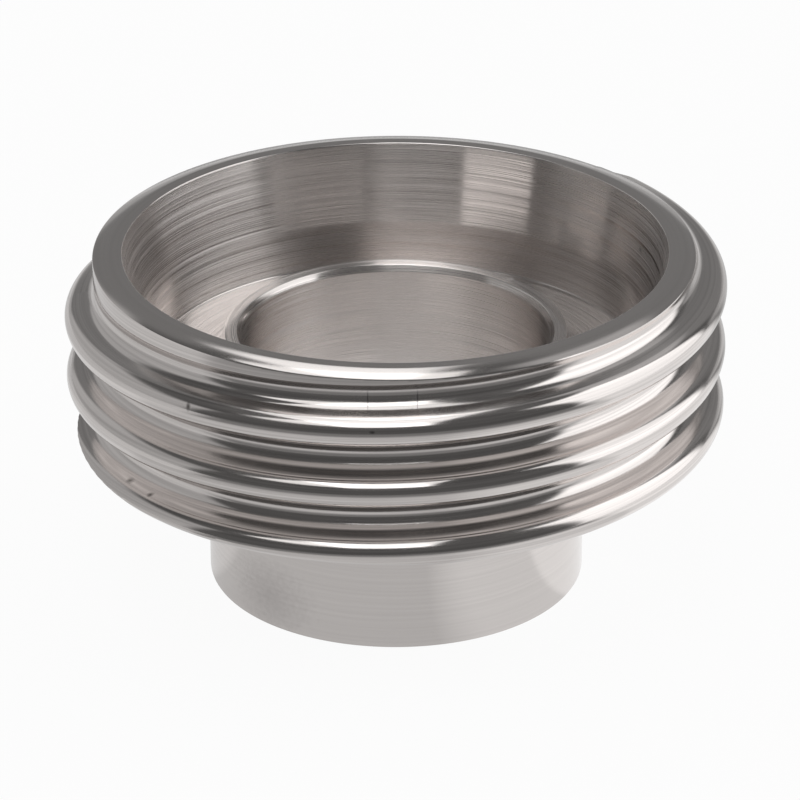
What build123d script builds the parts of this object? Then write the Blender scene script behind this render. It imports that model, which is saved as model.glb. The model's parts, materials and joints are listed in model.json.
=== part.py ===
"""Male part of a DN 20 round-thread sanitary union: one stainless steel turning.

A weld spigot stands below a short threaded head. The head is open at the top, where the
liner is centred in a tapered seat, above a square groove for the ring gasket.
Millimetres, +Z up, origin at the centre of the spigot's end face, thread axis on Z.
"""

import os
from math import acos, cos, isclose, radians, sin

from build123d import *

# --- Overall stack, from the spigot's end face up -----------------------------------------
spigot_length = 10.9            # end face to the underside of the threaded head
head_height = 12.4              # underside of the head to the edge of the mouth

# --- Weld spigot and bore -------------------------------------------------------------------
spigot_diameter = 25.4
bore_diameter = 20.7
spigot_edge_break = 0.15        # chamfer on the outer edge of the end face
neck_fillet = 0.6               # where the spigot meets the underside of the head

# --- Round thread, Rd 44 x 1/6 inch, right-hand, one start ------------------------------------
thread_diameter = 44.0
thread_pitch = 25.4 / 6
depth_to_pitch = 0.5            # standard round thread: depth of the profile over the pitch
radius_to_pitch = 0.23851       # standard round thread: crest and root radius over the pitch
flank_angle = 15.0              # each flank, from the plane square to the axis
first_crest_drop = 1.75         # mouth edge down to the crest where the thread starts
thread_start_angle = 42.0       # where the thread starts, counter-clockwise from +X
thread_turns = 2.68             # from the start down past the underside of the head
start_ramp_angle = 8.0          # arc over which the first end of the thread is cut back
core_allowance = 0.05           # the turned core stands proud of the thread's root by this
ridge_root_depth = 0.6          # how deep the ridge is rooted in the core

# --- Head -------------------------------------------------------------------------------------
rim_diameter = 40.2             # outer corner of the rim
rim_land_height = 3.0           # below the corner, the plain land narrows to the core over this
rim_flat_width = 0.75           # level inner ring of the rim face
rim_fall = 0.25                 # outer corner of the rim below the mouth edge
lower_edge_chamfer = 0.35       # lower outer edge of the head

# --- Liner seat, gasket groove and bore lip -----------------------------------------------------
mouth_diameter = 36.2
seat_foot_diameter = 33.95
seat_depth = 5.5                # mouth edge to the foot of the tapered seat
groove_foot_diameter = 33.2
groove_depth = 3.1              # foot of the seat to the floor of the groove
groove_corner_fillet = 0.2
lip_wall = 1.15                 # raised lip that the ring gasket sits around: wall round the bore
lip_drop = 5.95                 # mouth edge down to the top of the lip
lip_bevel_width = 0.2           # inner edge of the lip, across
lip_bevel_height = 0.4          # inner edge of the lip, down the bore

# --- What follows from the sizes above ------------------------------------------------------------
mouth_height = spigot_length + head_height
rim_corner_height = mouth_height - rim_fall
groove_floor_height = mouth_height - seat_depth - groove_depth
lip_height = mouth_height - lip_drop
lip_diameter = bore_diameter + 2 * lip_wall

crest_radius = thread_diameter / 2
root_radius = crest_radius - depth_to_pitch * thread_pitch
core_radius = root_radius + core_allowance
round_radius = radius_to_pitch * thread_pitch
crest_centre = crest_radius - round_radius
root_centre = root_radius + round_radius
turn_to_flank = radians(90 - flank_angle)
turn_to_core = acos((root_centre - core_radius) / round_radius)


def crest_point(turn):
    """Point on the round crest, turned from its top by an angle towards the flank."""
    return (crest_centre + round_radius * cos(turn), round_radius * sin(turn))


def root_point(turn, side):
    """Point on the round root above (side 1) or below (side -1) the crest."""
    return (root_centre - round_radius * cos(turn), side * (thread_pitch / 2 - round_radius * sin(turn)))


def rings_at(part, radius, height):
    """The turned edges of this radius at this height."""
    rings = part.edges().filter_by(GeomType.CIRCLE)
    return [ring for ring in rings if isclose(ring.radius, radius) and isclose(ring.arc_center.Z, height)]


# --- Thread: one round ridge swept up a helix, lower end on +X while it is made -----------------------
ridge_turns = thread_turns + start_ramp_angle / 2 / 360
ridge_base_height = mouth_height - first_crest_drop - thread_pitch * thread_turns
ridge_base = Plane(origin=(0, 0, ridge_base_height))
ridge_section = Plane(origin=(0, 0, ridge_base_height), x_dir=(1, 0, 0), z_dir=(0, -1, 0))
lower_end_angle = thread_start_angle - 360 * thread_turns
toe_radius, toe_height = root_point(turn_to_core, 1)

with BuildPart() as ridge:
    with BuildLine(ridge_base) as helix:
        Helix(thread_pitch, thread_pitch * ridge_turns, crest_centre)
    with BuildSketch(ridge_section):
        with BuildLine():
            ThreePointArc(crest_point(-turn_to_flank), crest_point(0), crest_point(turn_to_flank))
            Line(crest_point(turn_to_flank), root_point(turn_to_flank, 1))
            ThreePointArc(
                root_point(turn_to_flank, 1),
                root_point((turn_to_flank + turn_to_core) / 2, 1),
                root_point(turn_to_core, 1),
            )
            Polyline(
                (toe_radius, toe_height),
                (toe_radius - ridge_root_depth, toe_height),
                (toe_radius - ridge_root_depth, -toe_height),
                (toe_radius, -toe_height),
            )
            ThreePointArc(
                root_point(turn_to_core, -1),
                root_point((turn_to_flank + turn_to_core) / 2, -1),
                root_point(turn_to_flank, -1),
            )
            Line(root_point(turn_to_flank, -1), crest_point(-turn_to_flank))
        make_face()
    sweep(path=helix.line, is_frenet=True)

# --- First end of the thread: a slanting cut takes the crest down to the core ---------------------------
ramp_foot_angle = radians(thread_start_angle + start_ramp_angle / 2)
ramp_top_angle = radians(thread_start_angle - start_ramp_angle / 2)
ramp_foot_radius = core_radius - ridge_root_depth
cutter_radius = crest_radius + ridge_root_depth
first_groove_height = mouth_height - first_crest_drop - thread_pitch / 2
cutter_top = mouth_height + thread_pitch
cutter_level = Plane(origin=(0, 0, first_groove_height))

with BuildPart() as start_cutter:
    with BuildSketch(cutter_level):
        with BuildLine():
            Polyline(
                (crest_radius * cos(ramp_top_angle), crest_radius * sin(ramp_top_angle)),
                (cutter_radius * cos(ramp_top_angle), cutter_radius * sin(ramp_top_angle)),
                (cutter_radius * cos(2 * ramp_foot_angle - ramp_top_angle),
                 cutter_radius * sin(2 * ramp_foot_angle - ramp_top_angle)),
                (ramp_foot_radius * cos(ramp_foot_angle), ramp_foot_radius * sin(ramp_foot_angle)),
                close=True,
            )
        make_face()
    extrude(amount=cutter_top - first_groove_height)

with BuildPart() as thread:
    add(ridge.part, rotation=(0, 0, lower_end_angle))
    add(start_cutter.part, mode=Mode.SUBTRACT)
    with BuildSketch(Plane.XZ):
        with BuildLine():
            Polyline(
                (0, spigot_length),
                (crest_radius - lower_edge_chamfer, spigot_length),
                (cutter_radius, spigot_length + cutter_radius - crest_radius + lower_edge_chamfer),
                (cutter_radius, rim_corner_height),
                (0, rim_corner_height),
                close=True,
            )
        make_face()
    revolve(axis=Axis.Z, mode=Mode.INTERSECT)

# --- Male part: everything turned about the axis as one half section, and the thread on it ---------------
with BuildPart() as male_part:
    with BuildSketch(Plane.XZ):
        with BuildLine():
            Polyline(
                (bore_diameter / 2, 0),
                (spigot_diameter / 2 - spigot_edge_break, 0),
                (spigot_diameter / 2, spigot_edge_break),
                (spigot_diameter / 2, spigot_length),
                (core_radius, spigot_length),
                (core_radius, rim_corner_height - rim_land_height),
                (rim_diameter / 2, rim_corner_height),
                (mouth_diameter / 2 + rim_flat_width, mouth_height),
                (mouth_diameter / 2, mouth_height),
                (seat_foot_diameter / 2, mouth_height - seat_depth),
                (groove_foot_diameter / 2, groove_floor_height),
                (lip_diameter / 2, groove_floor_height),
                (lip_diameter / 2, lip_height),
                (bore_diameter / 2 + lip_bevel_width, lip_height),
                (bore_diameter / 2, lip_height - lip_bevel_height),
                close=True,
            )
        make_face()
    revolve(axis=Axis.Z)
    fillet(rings_at(male_part, groove_foot_diameter / 2, groove_floor_height), groove_corner_fillet)
    fillet(rings_at(male_part, spigot_diameter / 2, spigot_length), neck_fillet)
    add(thread.part)

male_part.part.label = "male_part"
os.makedirs("parts", exist_ok=True)
export_step(male_part.part, "parts/male_part.step")
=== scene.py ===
# %% [markdown]
# # A round-thread union half in turned stainless steel
# The real object is one turning: a bar is bored and faced in a lathe, a round thread is cut on its
# outside, and a plain spigot is left below for welding to a tube. Metal this bright has hardly any
# colour of its own. What the eye reads is the shape of its reflections, so two things matter most
# here: a surface whose curves are exact, and lights and dark cards that stand where a studio has them.
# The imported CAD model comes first, as the frame that every size is held against.

import json
from math import acos, atan2, cos, hypot, pi, radians, sin

import bmesh
import bpy
from mathutils import Matrix, Quaternion, Vector

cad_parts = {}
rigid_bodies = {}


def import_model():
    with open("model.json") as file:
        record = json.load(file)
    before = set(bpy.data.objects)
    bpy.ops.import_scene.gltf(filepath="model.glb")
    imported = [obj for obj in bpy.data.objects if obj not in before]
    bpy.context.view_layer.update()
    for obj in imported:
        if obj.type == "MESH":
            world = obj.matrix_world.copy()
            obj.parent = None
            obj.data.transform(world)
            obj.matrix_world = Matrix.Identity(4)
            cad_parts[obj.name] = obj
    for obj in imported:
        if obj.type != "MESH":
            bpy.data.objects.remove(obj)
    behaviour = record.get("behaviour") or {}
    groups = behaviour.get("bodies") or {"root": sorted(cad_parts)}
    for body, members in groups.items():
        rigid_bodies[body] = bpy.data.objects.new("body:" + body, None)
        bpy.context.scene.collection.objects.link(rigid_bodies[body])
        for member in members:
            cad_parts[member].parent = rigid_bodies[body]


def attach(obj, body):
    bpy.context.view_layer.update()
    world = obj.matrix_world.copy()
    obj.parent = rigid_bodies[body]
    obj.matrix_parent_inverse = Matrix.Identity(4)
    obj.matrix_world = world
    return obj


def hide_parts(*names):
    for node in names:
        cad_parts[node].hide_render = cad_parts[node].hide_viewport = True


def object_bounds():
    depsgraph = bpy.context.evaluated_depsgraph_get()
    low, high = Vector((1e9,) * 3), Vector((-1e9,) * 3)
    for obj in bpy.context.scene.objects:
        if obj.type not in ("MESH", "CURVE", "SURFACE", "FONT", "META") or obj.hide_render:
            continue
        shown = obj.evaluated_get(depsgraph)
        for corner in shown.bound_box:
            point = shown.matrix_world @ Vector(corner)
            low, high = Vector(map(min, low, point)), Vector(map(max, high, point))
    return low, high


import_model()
cad_low, cad_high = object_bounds()
MM = 0.001
print("CAD box, mm:", [round(c / MM, 2) for c in (*cad_low, *cad_high)])

# %% [markdown]
# ## Sizes
# A turning is drawn as a half section: radii from the axis, and heights. Heights in the head are
# counted down from the edge of the mouth, as a lathe hand would measure them, and those of the spigot
# are counted up from its end face. Everything is kept in metres, because the frame is.

# %% Name the sizes of the turning
MOUTH_HEIGHT = cad_high[2]
SPIGOT_LENGTH = 10.9 * MM
SPIGOT_RADIUS = 12.7 * MM
BORE_RADIUS = 10.35 * MM
MOUTH_RADIUS = 18.1 * MM
SEAT_END_RADIUS, SEAT_DEPTH = 16.975 * MM, 5.5 * MM     # the gasket's seat narrows down to here
FLOOR_RADIUS, FLOOR_DEPTH = 16.6 * MM, 8.6 * MM         # the groove's wall ends on its floor here
LIP_RADIUS, LIP_DEPTH = 11.5 * MM, 5.95 * MM            # the lip between the groove and the bore
RIM_RADIUS = 20.1 * MM
RIM_FALL = 0.25 * MM
LAND_RADIUS = 20.05 * MM
NO_GAP = 0.001 * MM         # places closer than this are taken as the same
print("head %.1f mm high over a spigot of %.1f mm" % ((MOUTH_HEIGHT - SPIGOT_LENGTH) / MM, SPIGOT_LENGTH / MM))

# %% [markdown]
# ## Sizes of the thread
# A round thread is settled by its diameter, its pitch and the tilt of its flanks. Its depth and its
# roundings are shares of the pitch, so they are worked out here and not typed in. The thread begins
# at one azimuth near the mouth, and everything about its ends is counted from there.

# %% Name the sizes of the thread
CREST_RADIUS = cad_high[0]
PITCH = 25.4 * MM / 6
ROOT_RADIUS = CREST_RADIUS - PITCH / 2
ROUND_RADIUS = 0.23851 * PITCH
FLANK_TILT = radians(15)
THREAD_START = radians(42)
START_CREST_HEIGHT = MOUTH_HEIGHT - 1.75 * MM
print("root radius %.3f mm, rounding %.3f mm" % (ROOT_RADIUS / MM, ROUND_RADIUS / MM))

# %% [markdown]
# ## The thread's profile
# The thread is round: an arc over the crest, an arc in the root, and a short straight flank between
# them. It could be drawn as a curve and given a bevel, but a curve's profile doesn't meet itself one
# turn further down. Here one pitch of the profile is grown from a single vertex instead: spun about
# the centre of the root's arc, pushed out along the flank, spun about the crest's centre, and so on.
# The small steps of about five degrees keep the reflections smooth.

# %% Helpers that grow a profile from its last vertex
def arc_on(bm, tip, centre, angle, steps):
    """Spins the tip vertex about a point of the XZ plane and gives the new tip."""
    made = bmesh.ops.spin(bm, geom=[tip], cent=centre, axis=(0, 1, 0), angle=angle, steps=steps)
    return [part for part in made["geom_last"] if isinstance(part, bmesh.types.BMVert)][0]


def line_on(bm, tip, step, parts):
    """Pushes the tip vertex along a straight line in equal parts and gives the new tip."""
    for _ in range(parts):
        made = bmesh.ops.extrude_vert_indiv(bm, verts=[tip])
        tip = made["verts"][0]
        bmesh.ops.translate(bm, verts=[tip], vec=Vector(step) / parts)
    return tip


# %% [markdown]
# ## From root to root over the crest
# The thread must close on itself, one pitch further down, without a seam. So the profile starts and
# ends at the bottom of the root. Each arc stops where it touches the flank, a quarter turn less the
# flank's tilt, and the root's arc has an extra vertex at the height of the plain land, where later
# cuts will meet it. Each vertex also keeps how far along the profile it lies, for the tool marks.

# %% Grow one pitch of the round profile
root_centre = ROOT_RADIUS + ROUND_RADIUS
crest_centre = CREST_RADIUS - ROUND_RADIUS
to_flank = pi / 2 - FLANK_TILT
to_land = acos((root_centre - LAND_RADIUS) / ROUND_RADIUS)
flank_run = crest_centre - root_centre + 2 * ROUND_RADIUS * cos(to_flank)
flank_rise = PITCH / 2 - 2 * ROUND_RADIUS * sin(to_flank)

screw = bmesh.new()
along = screw.verts.layers.float.new("along_section")
tip = bmesh.ops.create_vert(screw, co=(ROOT_RADIUS, 0, -PITCH / 2))["vert"][0]
ROOT_STEPS, LAND_STEPS, FLANK_STEPS, CREST_STEPS = 6, 8, 3, 30
tip = arc_on(screw, tip, (root_centre, 0, -PITCH / 2), to_land, ROOT_STEPS)
tip = arc_on(screw, tip, (root_centre, 0, -PITCH / 2), to_flank - to_land, LAND_STEPS)
tip = line_on(screw, tip, (flank_run, 0, flank_rise), FLANK_STEPS)
tip = arc_on(screw, tip, (crest_centre, 0, 0), -2 * to_flank, CREST_STEPS)
tip = line_on(screw, tip, (-flank_run, 0, flank_rise), FLANK_STEPS)
tip = arc_on(screw, tip, (root_centre, 0, PITCH / 2), to_flank - to_land, LAND_STEPS)
tip = arc_on(screw, tip, (root_centre, 0, PITCH / 2), to_land, ROOT_STEPS)
reach = 0
for before, here in zip([*screw.verts][:1] + [*screw.verts], screw.verts):
    reach += (here.co - before.co).length
    here[along] = reach
PROFILE_LENGTH = reach
top_of_crest = max(v.co.x for v in screw.verts)
print("profile: %d vertices, crest at %.3f mm, ends at %.3f, %.3f mm"
      % (len(screw.verts), top_of_crest / MM, tip.co.x / MM, tip.co.z / MM))

# %% [markdown]
# ## Winding the profile into a thread
# Spinning the profile while it sinks by one pitch each turn gives the thread and its groove as one
# sheet, whose rows of faces follow the helix as the tool marks do. The Screw modifier would do this
# too, but the ends of the thread still have to be cut, and that is easier in the same bmesh. The spin
# starts a whole turn above the thread's first crest, so that the sheet reaches over the mouth.

# %% Spin one turn down the helix
STEPS = 320
RAMP_HALF = radians(4)      # half the angle that the slanting face at the thread's start covers
above_start = RAMP_HALF + 2 * pi
top_crest = START_CREST_HEIGHT + PITCH * above_start / (2 * pi)
bmesh.ops.translate(screw, verts=screw.verts[:], vec=(0, 0, top_crest))
bmesh.ops.rotate(screw, verts=screw.verts[:], cent=(0, 0, 0),
                 matrix=Matrix.Rotation(THREAD_START + above_start, 3, "Z"))
bmesh.ops.spin(screw, geom=screw.verts[:] + screw.edges[:], cent=(0, 0, 0), axis=(0, 0, 1),
               dvec=(0, 0, -PITCH / STEPS), angle=-2 * pi, steps=STEPS, use_merge=False)
print("one turn: %d faces" % len(screw.faces))

# %% [markdown]
# ## More turns
# Spinning five turns in one go is slow, because each step searches a mesh that keeps growing. Copies
# of the first turn, each a pitch lower, give the same sheet in a moment. Neighbouring turns share
# their points, and merging doubles joins them. What sticks out far above and below is cut off.

# %% Copy the turn downwards until the head is covered, and join the turns
TURNS = 5


def cut_level(height, up):
    """Cuts the sheet level at this height and drops what lies above it (up is 1) or below it (-1)."""
    bmesh.ops.bisect_plane(screw, geom=screw.verts[:] + screw.edges[:] + screw.faces[:], dist=NO_GAP / 2,
                           plane_co=(0, 0, height), plane_no=(0, 0, up), clear_outer=True)


one_turn = screw.verts[:] + screw.edges[:] + screw.faces[:]
for turn in range(1, TURNS):
    copy = bmesh.ops.duplicate(screw, geom=one_turn)["geom"]
    lower = [part for part in copy if isinstance(part, bmesh.types.BMVert)]
    bmesh.ops.translate(screw, verts=lower, vec=(0, 0, -turn * PITCH))
bmesh.ops.remove_doubles(screw, verts=screw.verts[:], dist=2 * NO_GAP)
cut_level(MOUTH_HEIGHT + PITCH / 2, 1)
cut_level(SPIGOT_LENGTH - PITCH / 2, -1)
print("wound sheet: %d faces, %.2f to %.2f mm high"
      % (len(screw.faces), min(v.co.z for v in screw.verts) / MM, max(v.co.z for v in screw.verts) / MM))

# %% [markdown]
# ## Cutting the thread's ends
# A real thread doesn't begin as a knife edge. The first turn is milled away down to a plain land, and
# its end is cut off on a slant. The last turn runs into the underside, where a 45 degree chamfer takes
# its thin edge, deeper and deeper until nothing is left. A Boolean cutter could do each of these, but
# all are simply a largest radius that the metal may have at each place, so one rule moves the points
# that stand proud of it straight in towards the axis.

# %% The largest radius at each place
ramp_top = Vector((CREST_RADIUS * cos(THREAD_START - RAMP_HALF), CREST_RADIUS * sin(THREAD_START - RAMP_HALF)))
ramp_foot = Vector((LAND_RADIUS * cos(THREAD_START + RAMP_HALF), LAND_RADIUS * sin(THREAD_START + RAMP_HALF)))
ramp_normal = Vector((ramp_foot - ramp_top).orthogonal()).normalized()
ramp_distance = ramp_top.dot(ramp_normal)
RUN_OUT_START, RUN_OUT_SPREAD = radians(903), radians(35)
RUN_OUT_DEPTH, RUN_OUT_GROWTH = 0.9 * MM, 1.3
CHAMFER_TIP = 34.1 * MM     # how far below the mouth the 45 degree cone would come to a point


def place_on_thread(x, y, z):
    """The angle turned since the thread's start, and the height of the first crest above this place."""
    turned = (THREAD_START + RAMP_HALF - atan2(y, x)) % (2 * pi)
    return turned, START_CREST_HEIGHT - PITCH * (turned - RAMP_HALF) / (2 * pi) - z


def run_out(wound):
    """How far the chamfer of the underside eats into the last turn, by angle wound from the start."""
    past = (wound - RUN_OUT_START) / RUN_OUT_SPREAD
    return RUN_OUT_DEPTH * max(past, 0) ** RUN_OUT_GROWTH


def largest_radius(x, y, z):
    """The radius that the head may have at this azimuth and height."""
    azimuth = atan2(y, x)
    turned, below_crest = place_on_thread(x, y, z)
    if below_crest < -PITCH / 2:
        return LAND_RADIUS
    limit = CREST_RADIUS
    if below_crest < PITCH / 2 and turned < 4 * RAMP_HALF:
        limit = min(limit, ramp_distance / (cos(azimuth) * ramp_normal.x + sin(azimuth) * ramp_normal.y))
    turns_down = int((below_crest + PITCH / 2) // PITCH)
    wound = turned - RAMP_HALF + 2 * pi * turns_down
    cone = z - MOUTH_HEIGHT + CHAMFER_TIP - run_out(wound)
    return min(limit, max(cone, ROOT_RADIUS))


print("the chamfer leaves %.2f mm of radius at the underside" % ((SPIGOT_LENGTH - MOUTH_HEIGHT + CHAMFER_TIP) / MM))

# %% [markdown]
# ## A crisp edge where the thread starts
# Moving points can only bend the faces that are there, and the slanting cut crosses them at an angle,
# so its edge would come out as a row of teeth. A bisect first draws the line of the cut into the
# faces near it. It removes nothing: it only puts vertices where the edge has to be.

# %% Draw the slanting cut across the first crest, so that its edge is crisp
near_start = []
for face in screw.faces:
    turned, below_crest = place_on_thread(*face.calc_center_median())
    if turned < 4 * RAMP_HALF and abs(below_crest) < PITCH / 2:
        near_start.append(face)
start_edges = dict.fromkeys(e for face in near_start for e in face.edges)
start_verts = dict.fromkeys(v for face in near_start for v in face.verts)
bmesh.ops.bisect_plane(screw, geom=[*start_verts, *start_edges, *near_start], dist=2 * NO_GAP,
                       plane_co=(*ramp_foot, 0), plane_no=(*ramp_normal, 0))
print("faces near the start:", len(near_start))

# %% [markdown]
# ## Trimming
# Now every point that stands proud of its largest radius moves straight in. After that the sheet is
# cut level just under the rim, with room left for the rim's rounded corner, and at the underside.

# %% Trim the sheet to that radius, then cut it level with the rim and the underside
trimmed = 0
for v in screw.verts:
    radius = hypot(v.co.x, v.co.y)
    limit = largest_radius(*v.co)
    if radius > limit:
        v.co.x *= limit / radius
        v.co.y *= limit / radius
        trimmed += 1
print("points trimmed:", trimmed)

RIM_ROUND = 0.08 * MM
top_height = MOUTH_HEIGHT - RIM_FALL - RIM_ROUND
cut_level(top_height, 1)
cut_level(SPIGOT_LENGTH, -1)
print("cut sheet: %d faces" % len(screw.faces))

# %% [markdown]
# ## The turned part of the piece
# Everything else was made with a tool that only moves in and out while the bar turns, so each surface
# is a ring pulled to a new radius and height. One ring is already there: the top edge of the thread's
# sheet. Extruding that ring along the half section gives rim, seat, gasket groove, lip, bore and
# spigot in one go and leaves no seam. Cylinders from the Add menu, joined by Booleans, would leave
# ragged rings and pinched shading. First the ring is cleared of points that the level cut left
# between two rows of faces, since each of them would be dragged along the whole half section.

# %% Clear the stray points off the top ring, so that every later ring is even
def azimuth_of(v):
    return atan2(v.co.y, v.co.x)


def ring_at(height):
    """The open edges of the sheet at this height."""
    return [e for e in screw.edges if e.is_boundary and all(abs(v.co.z - height) < NO_GAP for v in e.verts)]


SAME_AZIMUTH = radians(0.02)
stray = []
for v in dict.fromkeys(v for e in ring_at(top_height) for v in e.verts):
    inner = [e.other_vert(v) for e in v.link_edges if not e.is_boundary]
    if all(abs(azimuth_of(w) - azimuth_of(v)) > SAME_AZIMUTH for w in inner):
        stray.append(v)
bmesh.ops.dissolve_verts(screw, verts=stray)
ring = ring_at(top_height)
for e in ring:
    for v in e.verts:
        v[along] = 2 * PROFILE_LENGTH
print("top ring: %d edges after %d stray points went" % (len(ring), len(stray)))

# %% [markdown]
# ## Carrying a ring
# Scaling a ring inwards would carry every unevenness with it, as streaks down the walls. Here each
# new point is set to the radius and height that it should have, so a wobble in the thread's edge ends
# at the rim. Every edge of the real piece has a small rounding that catches a line of light. It is
# drawn as a curve that touches both sides of the corner.


# %% Helpers that carry a ring along the half section
def pull(ring, place):
    """Extrudes a ring of edges, puts each new point at the (radius, height) that place gives it, and
    gives the new ring. place is told the point's own radius."""
    made = bmesh.ops.extrude_edge_only(screw, edges=ring)["geom"]
    points = {part for part in made if isinstance(part, bmesh.types.BMVert)}
    for v in points:
        own = hypot(v.co.x, v.co.y)
        radius, height = place(own)
        v[along] += hypot(radius - own, height - v.co.z)
        v.co = (v.co.x * radius / own, v.co.y * radius / own, height)
    return [part for part in made if isinstance(part, bmesh.types.BMEdge) and all(v in points for v in part.verts)]


def turn_to(ring, radius, height):
    """Carries a ring to a new radius and height."""
    return pull(ring, lambda own: (radius, height))


def round_corner(ring, corner, before, after, size, steps=4):
    """Carries a ring round a corner of the half section, as a curve that touches both sides."""
    corner, before, after = Vector(corner), Vector(before), Vector(after)
    start = corner + (before - corner).normalized() * size
    end = corner + (after - corner).normalized() * size
    for n in range(steps + 1):
        t = n / steps
        spot = start * (1 - t) ** 2 + corner * 2 * t * (1 - t) + end * t ** 2
        ring = turn_to(ring, *spot)
    return ring


# %% [markdown]
# ## The rim's outer corner
# The thread's groove runs out through the rim at one place, so the rim's edge isn't a true circle
# there. Two small steps inwards follow that edge point by point and make its rounding, and only then
# does the half section begin. The rim falls slightly towards the outside.

# %% Round the rim's outer corner
RIM_SLOPE = 0.2
RIM_STEPS = ((0.02 * MM, 0.03 * MM), (0.05 * MM, 0))    # how far in, and how far below the rim's slope


def rim_height(radius):
    """Height of the falling outer part of the rim."""
    return MOUTH_HEIGHT - RIM_FALL + (RIM_RADIUS - radius) * RIM_SLOPE


for inwards, below in RIM_STEPS:
    ring = pull(ring, lambda own: (own - inwards, rim_height(own) - below))
print("rim's outer corner is %d edges round" % len(ring))

# %% [markdown]
# ## The half section
# From the rim the tool's path goes in to the mouth, down the slightly tapered seat of the gasket, over
# the groove's floor to the lip, down the bore, and back up the outside of the spigot. Bridging the last
# ring to the lower edge of the thread closes the body. The body then has no hole in it at all, which a
# count of its open edges shows.

# %% Carry the ring from the rim in and down, and back up to the underside
def at(radius, below_mouth):
    """A corner of the half section in the head."""
    return (radius, MOUTH_HEIGHT - below_mouth)


HALF_SECTION = (            # corner, and the size of its rounding
    (at(19.8 * MM, 0.19 * MM), 0),                      # the rim's slope
    (at(18.85 * MM, 0), 0.1 * MM),                      # top of the slope
    (at(MOUTH_RADIUS, 0), 0.07 * MM),
    (at(SEAT_END_RADIUS, SEAT_DEPTH), 0.04 * MM),
    (at(FLOOR_RADIUS, FLOOR_DEPTH), 0.2 * MM),
    (at(LIP_RADIUS, FLOOR_DEPTH), 0.12 * MM),
    (at(LIP_RADIUS, LIP_DEPTH), 0.1 * MM),
    (at(10.6 * MM, 5.97 * MM), 0.05 * MM),              # inner edge of the lip
    (at(BORE_RADIUS, 6.42 * MM), 0.05 * MM),            # its bevel ends in the bore
    ((BORE_RADIUS, 0), 0.1 * MM),
    ((SPIGOT_RADIUS, 0), 0.15 * MM),
    ((SPIGOT_RADIUS, SPIGOT_LENGTH), 0.6 * MM),
    ((14.5 * MM, SPIGOT_LENGTH), 0),                    # out on the underside
)
for (before, _), (corner, size), (after, _) in zip(HALF_SECTION, HALF_SECTION[1:], HALF_SECTION[2:]):
    ring = round_corner(ring, corner, before, after, size)
ring = turn_to(ring, *HALF_SECTION[-1][0])


def in_thread(face):
    """Whether the face belongs to the wound sheet, or to the rings that stand in its place."""
    middle = face.calc_center_median()
    return hypot(*middle.xy) > ROOT_RADIUS - 0.02 * MM and middle.z < MOUTH_HEIGHT - RIM_FALL


thread_faces = {face for face in screw.faces if in_thread(face)}
bmesh.ops.bridge_loops(screw, edges=ring_at(SPIGOT_LENGTH))
bmesh.ops.recalc_face_normals(screw, faces=screw.faces[:])
open_edges = [e for e in screw.edges if not e.is_manifold]
print("closed body: %d faces, %d open edges" % (len(screw.faces), len(open_edges)))

# %% [markdown]
# ## Three finishes on one piece
# Three tools cut this steel. The form tool left the thread bright, the facing tool did the rim and the
# outside of the spigot, and the boring bar, which is long and chatters a little, did everything inside.
# Each gets its own place in the mesh's list of materials.

# %% Mark each face with the tool that cut it
THREAD_FINISH, FACED_FINISH, BORED_FINISH = range(3)


def tool_of(face):
    """Which of the three tools cut this face."""
    middle = face.calc_center_median()
    radius = hypot(*middle.xy)
    in_recess = middle.z > SPIGOT_LENGTH + MM and radius < MOUTH_RADIUS - 0.05 * MM
    if face in thread_faces:
        return THREAD_FINISH
    return BORED_FINISH if in_recess or radius < BORE_RADIUS + 0.2 * MM else FACED_FINISH


for face in screw.faces:
    face.material_index = tool_of(face)
for finish in (THREAD_FINISH, FACED_FINISH, BORED_FINISH):
    print("finish %d: %d faces" % (finish, sum(face.material_index == finish for face in screw.faces)))

# %% [markdown]
# ## Which way the tool went
# A lathe leaves fine grooves round the axis. They spread a reflection along the half section, but
# hardly at all round the piece, so a lamp shows as a long streak down each wall. The shader needs to
# know that direction. A radial tangent would give it, but it is measured from the bounding box, so a
# UV map is laid over the piece instead: U runs round the axis, and V along the section. A face that
# reaches past the end of either takes up the count from the far side, so that it isn't squeezed.

# %% Lay the UV map along the tool marks
HALF_LENGTH = PROFILE_LENGTH / 2
uv = screw.loops.layers.uv.new("turning")
for face in screw.faces:
    rounds = [atan2(loop.vert.co.y, loop.vert.co.x) / (2 * pi) for loop in face.loops]
    lengths = [loop.vert[along] for loop in face.loops]
    closes_circle = max(rounds) - min(rounds) > 0.5
    closes_profile = max(lengths) - min(lengths) > HALF_LENGTH and face in thread_faces
    for loop, u, v in zip(face.loops, rounds, lengths):
        u += 1 if closes_circle and u < 0 else 0
        v += PROFILE_LENGTH if closes_profile and v < HALF_LENGTH else 0
        loop[uv].uv = (u, v / PROFILE_LENGTH)
print("UV map laid over %d faces" % len(screw.faces))

# %% [markdown]
# ## Smooth walls and real edges
# All faces are shaded smooth, but where two of them meet at a clear angle the edge stays sharp. Long
# thin faces beside the small roundings would tilt the normals of the wide ones, which shows at once on
# a mirror. The Weighted Normal modifier lets each face count by its area instead.

# %% Shade it, and put the finished piece in the scene
SHARP_ANGLE = radians(24)
for face in screw.faces:
    face.smooth = True
for edge in screw.edges:
    edge.smooth = edge.calc_face_angle(0) < SHARP_ANGLE
mesh = bpy.data.meshes.new("turned_fitting")
screw.to_mesh(mesh)
print("volume %.0f cubic mm" % (screw.calc_volume() / MM ** 3))
screw.free()
fitting = bpy.data.objects.new("turned_fitting", mesh)
bpy.context.scene.collection.objects.link(fitting)
even = fitting.modifiers.new("even shading", "WEIGHTED_NORMAL")
even.keep_sharp = True
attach(fitting, "root")
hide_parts("male_part")

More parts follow.
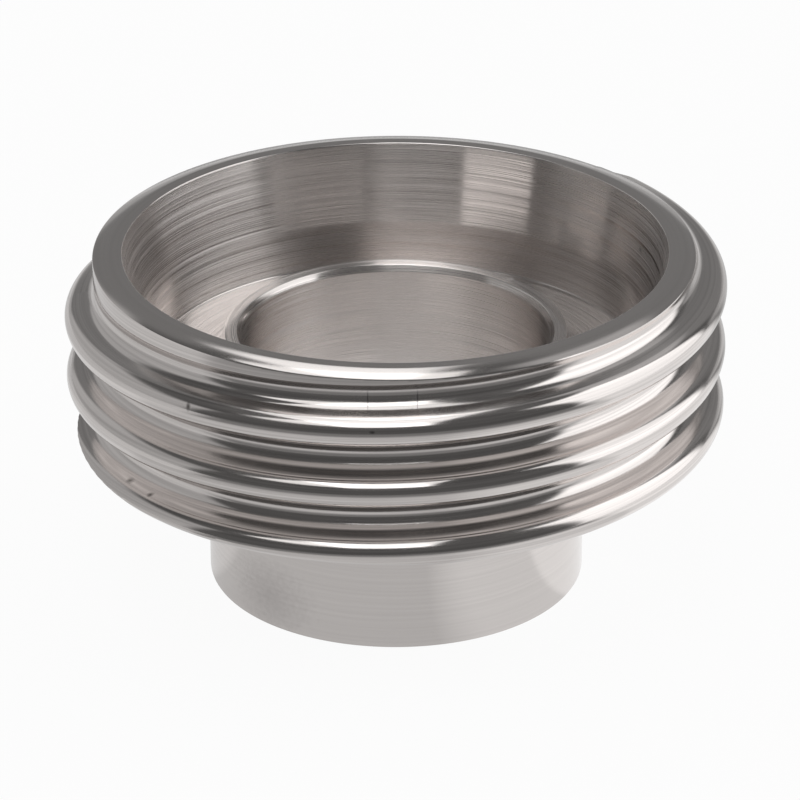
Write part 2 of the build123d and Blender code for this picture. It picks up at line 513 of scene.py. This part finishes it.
# %% [markdown]
# ## Turned stainless steel
# Stainless steel is a slightly warm grey mirror, dulled by tool marks. Marks could be an image, but
# a pattern worked out from the radius and the height fits every turned surface. It is noise drawn out
# round the axis until only fine rings are left. On the thread the rings have to climb with the helix,
# so the group takes a lead: how far a mark rises in one turn. A slow cloud gives uneven polish.

# %% Helpers that add nodes
def math_node(tree, operation, *inputs, clamp=False):
    """A Math node with its inputs linked or set, and its output."""
    node = tree.nodes.new("ShaderNodeMath")
    node.operation = operation
    node.use_clamp = clamp
    for socket, given in zip(node.inputs, inputs):
        if isinstance(given, (int, float)):
            socket.default_value = given
        else:
            tree.links.new(given, socket)
    return node.outputs[0]


def vector_node(tree, operation, *inputs):
    """A Vector Math node with its inputs linked."""
    node = tree.nodes.new("ShaderNodeVectorMath")
    node.operation = operation
    for socket, source in zip(node.inputs, inputs):
        tree.links.new(source, socket)
    return node


def noise_node(tree, place, scale, detail):
    """A Noise Texture read at this place, and its value."""
    node = tree.nodes.new("ShaderNodeTexNoise")
    node.inputs["Scale"].default_value = scale
    node.inputs["Detail"].default_value = detail
    tree.links.new(place, node.inputs["Vector"])
    return node.outputs[0]


def parts_of(tree, place):
    """The X, Y and Z of a vector."""
    node = tree.nodes.new("ShaderNodeSeparateXYZ")
    tree.links.new(place, node.inputs[0])
    return node.outputs


def from_axis(tree, x, y):
    """The distance from the axis."""
    return math_node(tree, "SQRT", math_node(tree, "ADD", math_node(tree, "MULTIPLY", x, x),
                                             math_node(tree, "MULTIPLY", y, y)))


# %% A node group: fine rings round the axis
RING_WANDER = 0.6           # how much a ring changes on its way round
CLOUDS_PER_METRE = 260
ROUGH_CONTRAST, ROUGH_SHARE = 12, 0.35      # how hard rough and smooth rings part, and where
marks = bpy.data.node_groups.new("tool_marks", "ShaderNodeTree")
for name in ("Lead", "Per Metre"):
    marks.interface.new_socket(name, in_out="INPUT", socket_type="NodeSocketFloat")
for name in ("Rings", "Alternate Rings", "Patches"):
    marks.interface.new_socket(name, in_out="OUTPUT", socket_type="NodeSocketFloat")
given = marks.nodes.new("NodeGroupInput").outputs
place = marks.nodes.new("ShaderNodeTexCoord").outputs["Object"]
x, y, z = parts_of(marks, place)
around = math_node(marks, "ARCTAN2", y, x)
climbed = math_node(marks, "MULTIPLY", math_node(marks, "DIVIDE", around, 2 * pi), given["Lead"])
level = math_node(marks, "SUBTRACT", z, climbed)
ring_space = marks.nodes.new("ShaderNodeCombineXYZ")
for socket, value, scale in zip(ring_space.inputs, (from_axis(marks, x, y), level, math_node(marks, "COSINE", around)),
                                (given["Per Metre"], given["Per Metre"], RING_WANDER)):
    marks.links.new(math_node(marks, "MULTIPLY", value, scale), socket)
rings = noise_node(marks, ring_space.outputs[0], 1, 3)
parted = math_node(marks, "MULTIPLY", math_node(marks, "SUBTRACT", rings, 0.5), ROUGH_CONTRAST)
results = marks.nodes.new("NodeGroupOutput").inputs
marks.links.new(rings, results["Rings"])
marks.links.new(math_node(marks, "ADD", parted, ROUGH_SHARE, clamp=True), results["Alternate Rings"])
marks.links.new(noise_node(marks, place, CLOUDS_PER_METRE, 3), results["Patches"])
print("tool marks: %d nodes" % len(marks.nodes))

# %% [markdown]
# ## Nicks, stains and a darker cloud
# A used fitting has a few nicks where it was knocked, and two stains from washing in its recess. The spigot is also
# darker in a faint cloud low on its left. Each is a small dark spot with a frayed edge. They could be painted on an
# image, but one group with a place and a reach draws them all: the distance from the place, measured in reaches, with
# some noise added.

# %% A node group: one small dark spot, a nick, scratch, stain or the darker cloud
SPOT_EDGE, SPOT_FRAY, FRAYS_PER_METRE = 1.4, 0.8, 3000
spot = bpy.data.node_groups.new("dark_spot", "ShaderNodeTree")
for name in ("Place", "Reach"):
    spot.interface.new_socket(name, in_out="INPUT", socket_type="NodeSocketVector")
spot.interface.new_socket("Mask", in_out="OUTPUT", socket_type="NodeSocketFloat")
given = spot.nodes.new("NodeGroupInput").outputs
here = spot.nodes.new("ShaderNodeTexCoord").outputs["Object"]
offset = vector_node(spot, "SUBTRACT", here, given["Place"]).outputs[0]
scaled = vector_node(spot, "DIVIDE", offset, given["Reach"]).outputs[0]
distance = vector_node(spot, "LENGTH", scaled).outputs["Value"]
fray = math_node(spot, "MULTIPLY", noise_node(spot, here, FRAYS_PER_METRE, 2), SPOT_FRAY)
mask = math_node(spot, "SUBTRACT", SPOT_EDGE, math_node(spot, "ADD", distance, fray), clamp=True)
spot.links.new(mask, spot.nodes.new("NodeGroupOutput").inputs["Mask"])
print("worn spot: %d nodes" % len(spot.nodes))

# %% Where the nicks, stains and the darker cloud are
NICKS = (                   # place and reach in millimetres, and how dark
    ((-13.05, -17.55, 20.05), (0.19, 0.3, 0.36), 1),    # knock on the first crest
    ((-1.45, -21.9, 20.3), (0.22, 0.3, 0.12), 0.9),     # dent in front of it
    ((-1.75, -20.1, 21.7), (0.06, 0.9, 0.9), 0.6),      # two scratches down the land
    ((1.35, -20.1, 21.7), (0.06, 0.9, 0.9), 0.6),
    ((-17.25, -11.8, 11.95), (0.4, 0.4, 0.16), 0.9),    # two knocks low on the left
    ((-15.85, -13.9, 12.0), (0.3, 0.3, 0.2), 0.9),
)
STAINS_AND_DARK_CLOUD = (
    ((-8.5, -9.5, 2.2), (4, 4, 3), 0.22),               # faint darker cloud low on the left of the spigot
    ((16.6, 5.6, 20.5), (0.25, 0.4, 0.25), 0.5),        # two specks in the recess
    ((16.1, 6.9, 19.4), (0.2, 0.3, 0.2), 0.5),
)
DARK_SPOT_COLOR = (0.06, 0.055, 0.05, 1)
print("%d nicks and %d stains" % (len(NICKS), len(STAINS_AND_DARK_CLOUD)))

# %% [markdown]
# ## The steel itself
# The three finishes share one shader. Its colour is the metal's reflectance, its roughness follows
# the marks, and its anisotropy runs along the UV map. The bored walls look both sharp and hazy in the
# real thing, as finely chattered steel does: ridges still polished, with rough valleys between them.
# One middling roughness shows neither, so there rough and smooth rings alternate, too fine to be seen
# singly.

# %% Helpers that blend by noise and mix colours
NOISE_LOW, NOISE_HIGH = 0.3, 0.7        # nearly all noise lies between these


def blend_between(tree, value, low, high):
    """Maps the usual reach of noise onto low to high."""
    node = tree.nodes.new("ShaderNodeMapRange")
    tree.links.new(value, node.inputs["Value"])
    for name, end in (("From Min", NOISE_LOW), ("From Max", NOISE_HIGH), ("To Min", low), ("To Max", high)):
        node.inputs[name].default_value = end
    return node.outputs["Result"]


def mix_colors(tree, factor, *colors):
    """A colour mix, whose two colours are linked or set."""
    node = tree.nodes.new("ShaderNodeMix")
    node.data_type = "RGBA"
    tree.links.new(factor, node.inputs["Factor"])
    for socket, color in zip((node.inputs["A"], node.inputs["B"]), colors):
        if isinstance(color, (tuple, list)):
            socket.default_value = color
        else:
            tree.links.new(color, socket)
    return node.outputs["Result"]


# %% One material from its finish
WARM_GREY = (1.055, 1, 0.972)
ALONG_SECTION = 0.25                    # a quarter turn from the UV map's U


def steel(name, lead, per_metre, smooth, rough, rough_by, anisotropy, ring_height, brightness, contrast, spots):
    """A turned stainless finish, whose roughness follows one of the tool marks' outputs."""
    material = bpy.data.materials.new(name)
    material.use_nodes = True
    tree = material.node_tree
    shader = tree.nodes["Principled BSDF"]
    shader.inputs["Metallic"].default_value = 1
    shader.inputs["Anisotropic"].default_value = anisotropy
    shader.inputs["Anisotropic Rotation"].default_value = ALONG_SECTION
    tangent = tree.nodes.new("ShaderNodeTangent")
    tangent.direction_type = "UV_MAP"
    tangent.uv_map = "turning"
    tree.links.new(tangent.outputs[0], shader.inputs["Tangent"])
    group = tree.nodes.new("ShaderNodeGroup")
    group.node_tree = marks
    group.inputs["Lead"].default_value = lead
    group.inputs["Per Metre"].default_value = per_metre
    rings = group.outputs["Rings"]
    tree.links.new(blend_between(tree, group.outputs[rough_by], smooth, rough), shader.inputs["Roughness"])
    dark, light = ([brightness * share * tint for tint in WARM_GREY] + [1] for share in (1 - contrast, 1 + contrast))
    color = mix_colors(tree, blend_between(tree, rings, 0, 1), dark, light)
    for place, reach, depth in spots:
        node = tree.nodes.new("ShaderNodeGroup")
        node.node_tree = spot
        node.inputs["Place"].default_value = Vector(place) * MM
        node.inputs["Reach"].default_value = Vector(reach) * MM
        color = mix_colors(tree, math_node(tree, "MULTIPLY", node.outputs["Mask"], depth), color, DARK_SPOT_COLOR)
    tree.links.new(color, shader.inputs["Base Color"])
    bump = tree.nodes.new("ShaderNodeBump")
    bump.inputs["Distance"].default_value = ring_height
    bump.inputs["Strength"].default_value = 1
    tree.links.new(rings, bump.inputs["Height"])
    tree.links.new(bump.outputs[0], shader.inputs["Normal"])
    return material


# %% Three finishes of the one steel, by the tool that cut them
FINISHES = (                # name, lead, marks per metre, smooth, rough, what the roughness follows, anisotropy, height of the marks, brightness, contrast, nicks, stains and the darker cloud
                            # anisotropy, height of the marks, brightness, contrast, nicks and stains
    ("thread_steel", PITCH, 5000, 0.1, 0.18, "Patches", 0.5, 0.001 * MM, 0.66, 0.16, NICKS),
    ("faced_steel", 0, 5000, 0.1, 0.15, "Patches", 0.7, 0.0004 * MM, 0.66, 0.03, STAINS_AND_DARK_CLOUD[:1]),
    ("bored_steel", 0, 60000, 0.1, 0.42, "Alternate Rings", 1.0, 0.0001 * MM, 0.77, 0.02, STAINS_AND_DARK_CLOUD[1:]),
)
for finish in FINISHES:
    mesh.materials.append(steel(*finish))
print("finishes:", [m.name for m in mesh.materials])

# %% [markdown]
# ## Camera
# The piece is seen through a long lens from about 26 degrees above, so that the rings stay nearly
# true ellipses and both the thread and the inside of the recess show. The camera could be aimed by a
# constraint, but a direction and a roll set it exactly and leave nothing to follow.

# %% Place the camera
CAMERA_SPOT = Vector((0, -262.558, 138.061)) * MM
CAMERA_DIP, CAMERA_TURN, CAMERA_ROLL = radians(25.6432), radians(0.0623), radians(-0.1574)
camera_data = bpy.data.cameras.new("camera")
camera_data.lens = 194.617
camera_data.sensor_width = 36
camera_data.clip_end = 20
camera = bpy.data.objects.new("camera", camera_data)
camera.location = CAMERA_SPOT
camera.rotation_mode = "QUATERNION"
look = Vector((sin(CAMERA_TURN) * cos(CAMERA_DIP), cos(CAMERA_TURN) * cos(CAMERA_DIP), -sin(CAMERA_DIP)))
camera.rotation_quaternion = look.to_track_quat("-Z", "Y") @ Quaternion((0, 0, 1), CAMERA_ROLL)
bpy.context.scene.collection.objects.link(camera)
bpy.context.scene.camera = camera
print("camera %.0f mm from the origin" % (CAMERA_SPOT.length / MM))

# %% [markdown]
# ## Studio
# Bright metal shows the room it stands in. Here that is a white table in a dim room. Large soft lights
# stand at the right and high in front on the left, a strip light and a grey wall are behind, a
# reflector is at the left, and a softbox hangs overhead. The dark gaps between them draw the dark bands
# along the thread. Each could be a lit panel, but all except the softbox are so far off that only
# their direction matters. They are painted as patches, each in its own direction, and the same group
# paints what the metal sees of the table.

# %% A patch of the surroundings, by direction
PATCH_SIZES = ("Azimuth", "Half Width", "Low", "High", "Softness", "Strength")
patch = bpy.data.node_groups.new("studio_patch", "ShaderNodeTree")
patch.interface.new_socket("Direction", in_out="INPUT", socket_type="NodeSocketVector")
for name in PATCH_SIZES:
    patch.interface.new_socket(name, in_out="INPUT", socket_type="NodeSocketFloat")
patch.interface.new_socket("Light", in_out="OUTPUT", socket_type="NodeSocketFloat")


def soft_step(tree, value, edge, softness):
    """0 well below the edge, 1 well above it, smooth between."""
    distance = math_node(tree, "SUBTRACT", value, edge)
    near = math_node(tree, "DIVIDE", distance, softness)
    shifted = math_node(tree, "ADD", near, 0.5, clamp=True)
    node = tree.nodes.new("ShaderNodeMapRange")
    node.interpolation_type = "SMOOTHSTEP"
    tree.links.new(shifted, node.inputs["Value"])
    return node.outputs["Result"]


given = patch.nodes.new("NodeGroupInput").outputs
turn = patch.nodes.new("ShaderNodeVectorRotate")
turn.rotation_type = "Z_AXIS"
patch.links.new(given["Direction"], turn.inputs["Vector"])
patch.links.new(math_node(patch, "RADIANS", given["Azimuth"]), turn.inputs["Angle"])
x, y, z = parts_of(patch, turn.outputs[0])
aside = math_node(patch, "DEGREES", math_node(patch, "ARCTAN2", x, y))
elevation = math_node(patch, "DEGREES", math_node(patch, "ARCSINE", z))
inside = soft_step(patch, given["Half Width"], math_node(patch, "ABSOLUTE", aside), given["Softness"])
above = soft_step(patch, elevation, given["Low"], given["Softness"])
below = soft_step(patch, given["High"], elevation, given["Softness"])
light = math_node(patch, "MULTIPLY", math_node(patch, "MULTIPLY", inside, above),
                  math_node(patch, "MULTIPLY", below, given["Strength"]))
patch.links.new(light, patch.nodes.new("NodeGroupOutput").inputs["Light"])
print("studio patch: %d nodes" % len(patch.nodes))


# %% Several patches at once
def painted_light(tree, direction, patches):
    """The strongest of these patches in each direction."""
    total = None
    for sizes in patches:
        node = tree.nodes.new("ShaderNodeGroup")
        node.node_tree = patch
        tree.links.new(direction, node.inputs["Direction"])
        for name, value in zip(PATCH_SIZES, sizes):
            node.inputs[name].default_value = value
        light = node.outputs["Light"]
        total = light if total is None else math_node(tree, "MAXIMUM", total, light)
    return total


# %% [markdown]
# ## Table
# The table is one large square, matt and nearly white, so that it takes the soft shadow of the piece.
# In a studio it is lit until it is pure white. A matt white alone would come out grey here, so to the
# camera and to the metal it mostly glows, and the rest of it stays matt and keeps the shadow. The
# metal sees it dim in front, where its edge is, and bright beside the softbox.

# %% Lay the table
TABLE_HALF = 2              # metres
grid = bmesh.new()
bmesh.ops.create_grid(grid, x_segments=1, y_segments=1, size=TABLE_HALF)
floor_mesh = bpy.data.meshes.new("floor")
grid.to_mesh(floor_mesh)
grid.free()
floor = bpy.data.objects.new("floor", floor_mesh)
bpy.context.scene.collection.objects.link(floor)
table_white = bpy.data.materials.new("table_white")
table_white.use_nodes = True
tree = table_white.node_tree
tree.nodes.clear()
print("table %d m wide" % (2 * TABLE_HALF))

# %% What the metal sees of the table
# Each patch: azimuth from the back, clockwise from above; half width; low; high; softness; strength
TABLE_PATCHES = (
    (88, 32, -20, 20, 15, 1.0),     # beside the softbox
    (-35, 85, -20, 20, 20, 0.62),   # left and behind
)
# Round the piece the table glows dimmer than its lit white, and lighter on the right towards the softbox. This is
# painted shade of the piece on the table, and only the metal sees it.
NEAR_PATCHES = (
    (105, 72, -20, 20, 60, 0.95),   # right of the piece
    (-60, 50, -20, 20, 30, 0.75),   # left of it
    (180, 360, -20, 20, 9, 0.61),   # all round it
)
NEAR_REACH, NEAR_SOFTNESS = 0.07, 0.05      # metres from the axis
TABLE_DIM = 0.2
place = tree.nodes.new("ShaderNodeTexCoord").outputs["Object"]
x, y, _ = parts_of(tree, place)
near = soft_step(tree, NEAR_REACH, from_axis(tree, x, y), NEAR_SOFTNESS)
under_piece = math_node(tree, "MULTIPLY", near, painted_light(tree, place, NEAR_PATCHES))
table_light = math_node(tree, "MAXIMUM", painted_light(tree, place, TABLE_PATCHES), under_piece)
table_light = math_node(tree, "MAXIMUM", table_light, TABLE_DIM)
print("the table shows the metal %d patches" % len(TABLE_PATCHES + NEAR_PATCHES))

# %% The table's material
TABLE_WHITE = (0.92, 0.92, 0.92, 1)
SEEN_SHARE = 0.95           # the rest is the matt table, which keeps the shadow
path = tree.nodes.new("ShaderNodeLightPath")
from_camera, from_metal = path.outputs["Is Camera Ray"], path.outputs["Is Glossy Ray"]
glow = tree.nodes.new("ShaderNodeEmission")
tree.links.new(math_node(tree, "MAXIMUM", from_camera, table_light), glow.inputs["Strength"])
matt = tree.nodes.new("ShaderNodeBsdfDiffuse")
matt.inputs["Color"].default_value = TABLE_WHITE
mix = tree.nodes.new("ShaderNodeMixShader")
seen_rays = math_node(tree, "MAXIMUM", from_camera, from_metal)
tree.links.new(math_node(tree, "MULTIPLY", seen_rays, SEEN_SHARE), mix.inputs[0])
tree.links.new(matt.outputs[0], mix.inputs[1])
tree.links.new(glow.outputs[0], mix.inputs[2])
tree.links.new(mix.outputs[0], tree.nodes.new("ShaderNodeOutputMaterial").inputs["Surface"])
floor_mesh.materials.append(table_white)
print("table material: %d nodes" % len(tree.nodes))

# %% [markdown]
# ## The room
# The world holds the far lights and the wall, over a dim room that fills the gaps between them. Only
# the metal and the table see them. A camera that looks past the table sees plain white.

# %% Paint the world
DIM_ROOM = 0.1
PATCHES = (                 # azimuth from the back, clockwise from above; half width; low; high; softness; strength
    (88, 30, -20, 60, 6, 1.3),      # softbox on the right, down to the table
    (-67, 40, -20, 38, 8, 0.36),    # reflector on the left
    (-150, 42, 50, 74, 6, 1.15),    # softbox high on the left, in front
    (-7, 12, 44, 74, 5, 1.15),      # strip light high behind
    (8, 40, -20, 50, 10, 0.11),     # grey wall behind
    (8, 45, -20, 8, 6, 0.32),       # its foot, lit by the table
    (38, 16, 38, 62, 8, 0.38),      # its glow beside the softbox
)
world = bpy.data.worlds.new("studio")
bpy.context.scene.world = world
world.use_nodes = True
tree = world.node_tree
direction = tree.nodes.new("ShaderNodeTexCoord").outputs["Generated"]
room = math_node(tree, "ADD", painted_light(tree, direction, PATCHES), DIM_ROOM)
from_camera = tree.nodes.new("ShaderNodeLightPath").outputs["Is Camera Ray"]
to_others = math_node(tree, "MULTIPLY", room, math_node(tree, "SUBTRACT", 1, from_camera))
tree.links.new(math_node(tree, "ADD", to_others, from_camera), tree.nodes["Background"].inputs["Color"])
print("%d lights in the room" % len(PATCHES))

# %% [markdown]
# ## The softbox overhead
# It hangs close enough to light the table unevenly and to cast the shadow, so it is a real area lamp.
# A lamp's power spreads over its area. To look as bright as a white of a given luminance, it needs
# that luminance times pi times its area.

# %% Hang the softbox
SOFTBOX_SPOT, SOFTBOX_AIM = Vector((-0.09, -0.12, 0.8)), Vector((-0.09, -0.1199, 0))
SOFTBOX_WIDTH, SOFTBOX_LENGTH = 0.4, 1.12       # metres
SOFTBOX_LUMINANCE = 1.1
softbox = bpy.data.lights.new("softbox_overhead", "AREA")
softbox.shape = "RECTANGLE"
softbox.size, softbox.size_y = SOFTBOX_WIDTH, SOFTBOX_LENGTH
softbox.energy = SOFTBOX_LUMINANCE * pi * SOFTBOX_WIDTH * SOFTBOX_LENGTH
lamp = bpy.data.objects.new("softbox_overhead", softbox)
lamp.location = SOFTBOX_SPOT
lamp.rotation_mode = "QUATERNION"
lamp.rotation_quaternion = (SOFTBOX_AIM - SOFTBOX_SPOT).to_track_quat("-Z", "Y")
bpy.context.scene.collection.objects.link(lamp)
print("softbox of %.2f W" % softbox.energy)

# %% [markdown]
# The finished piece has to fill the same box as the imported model. The view transform is set to
# Standard, because the default one would bend the white of the table and the greys of the steel.

bpy.context.scene.view_settings.view_transform = "Standard"
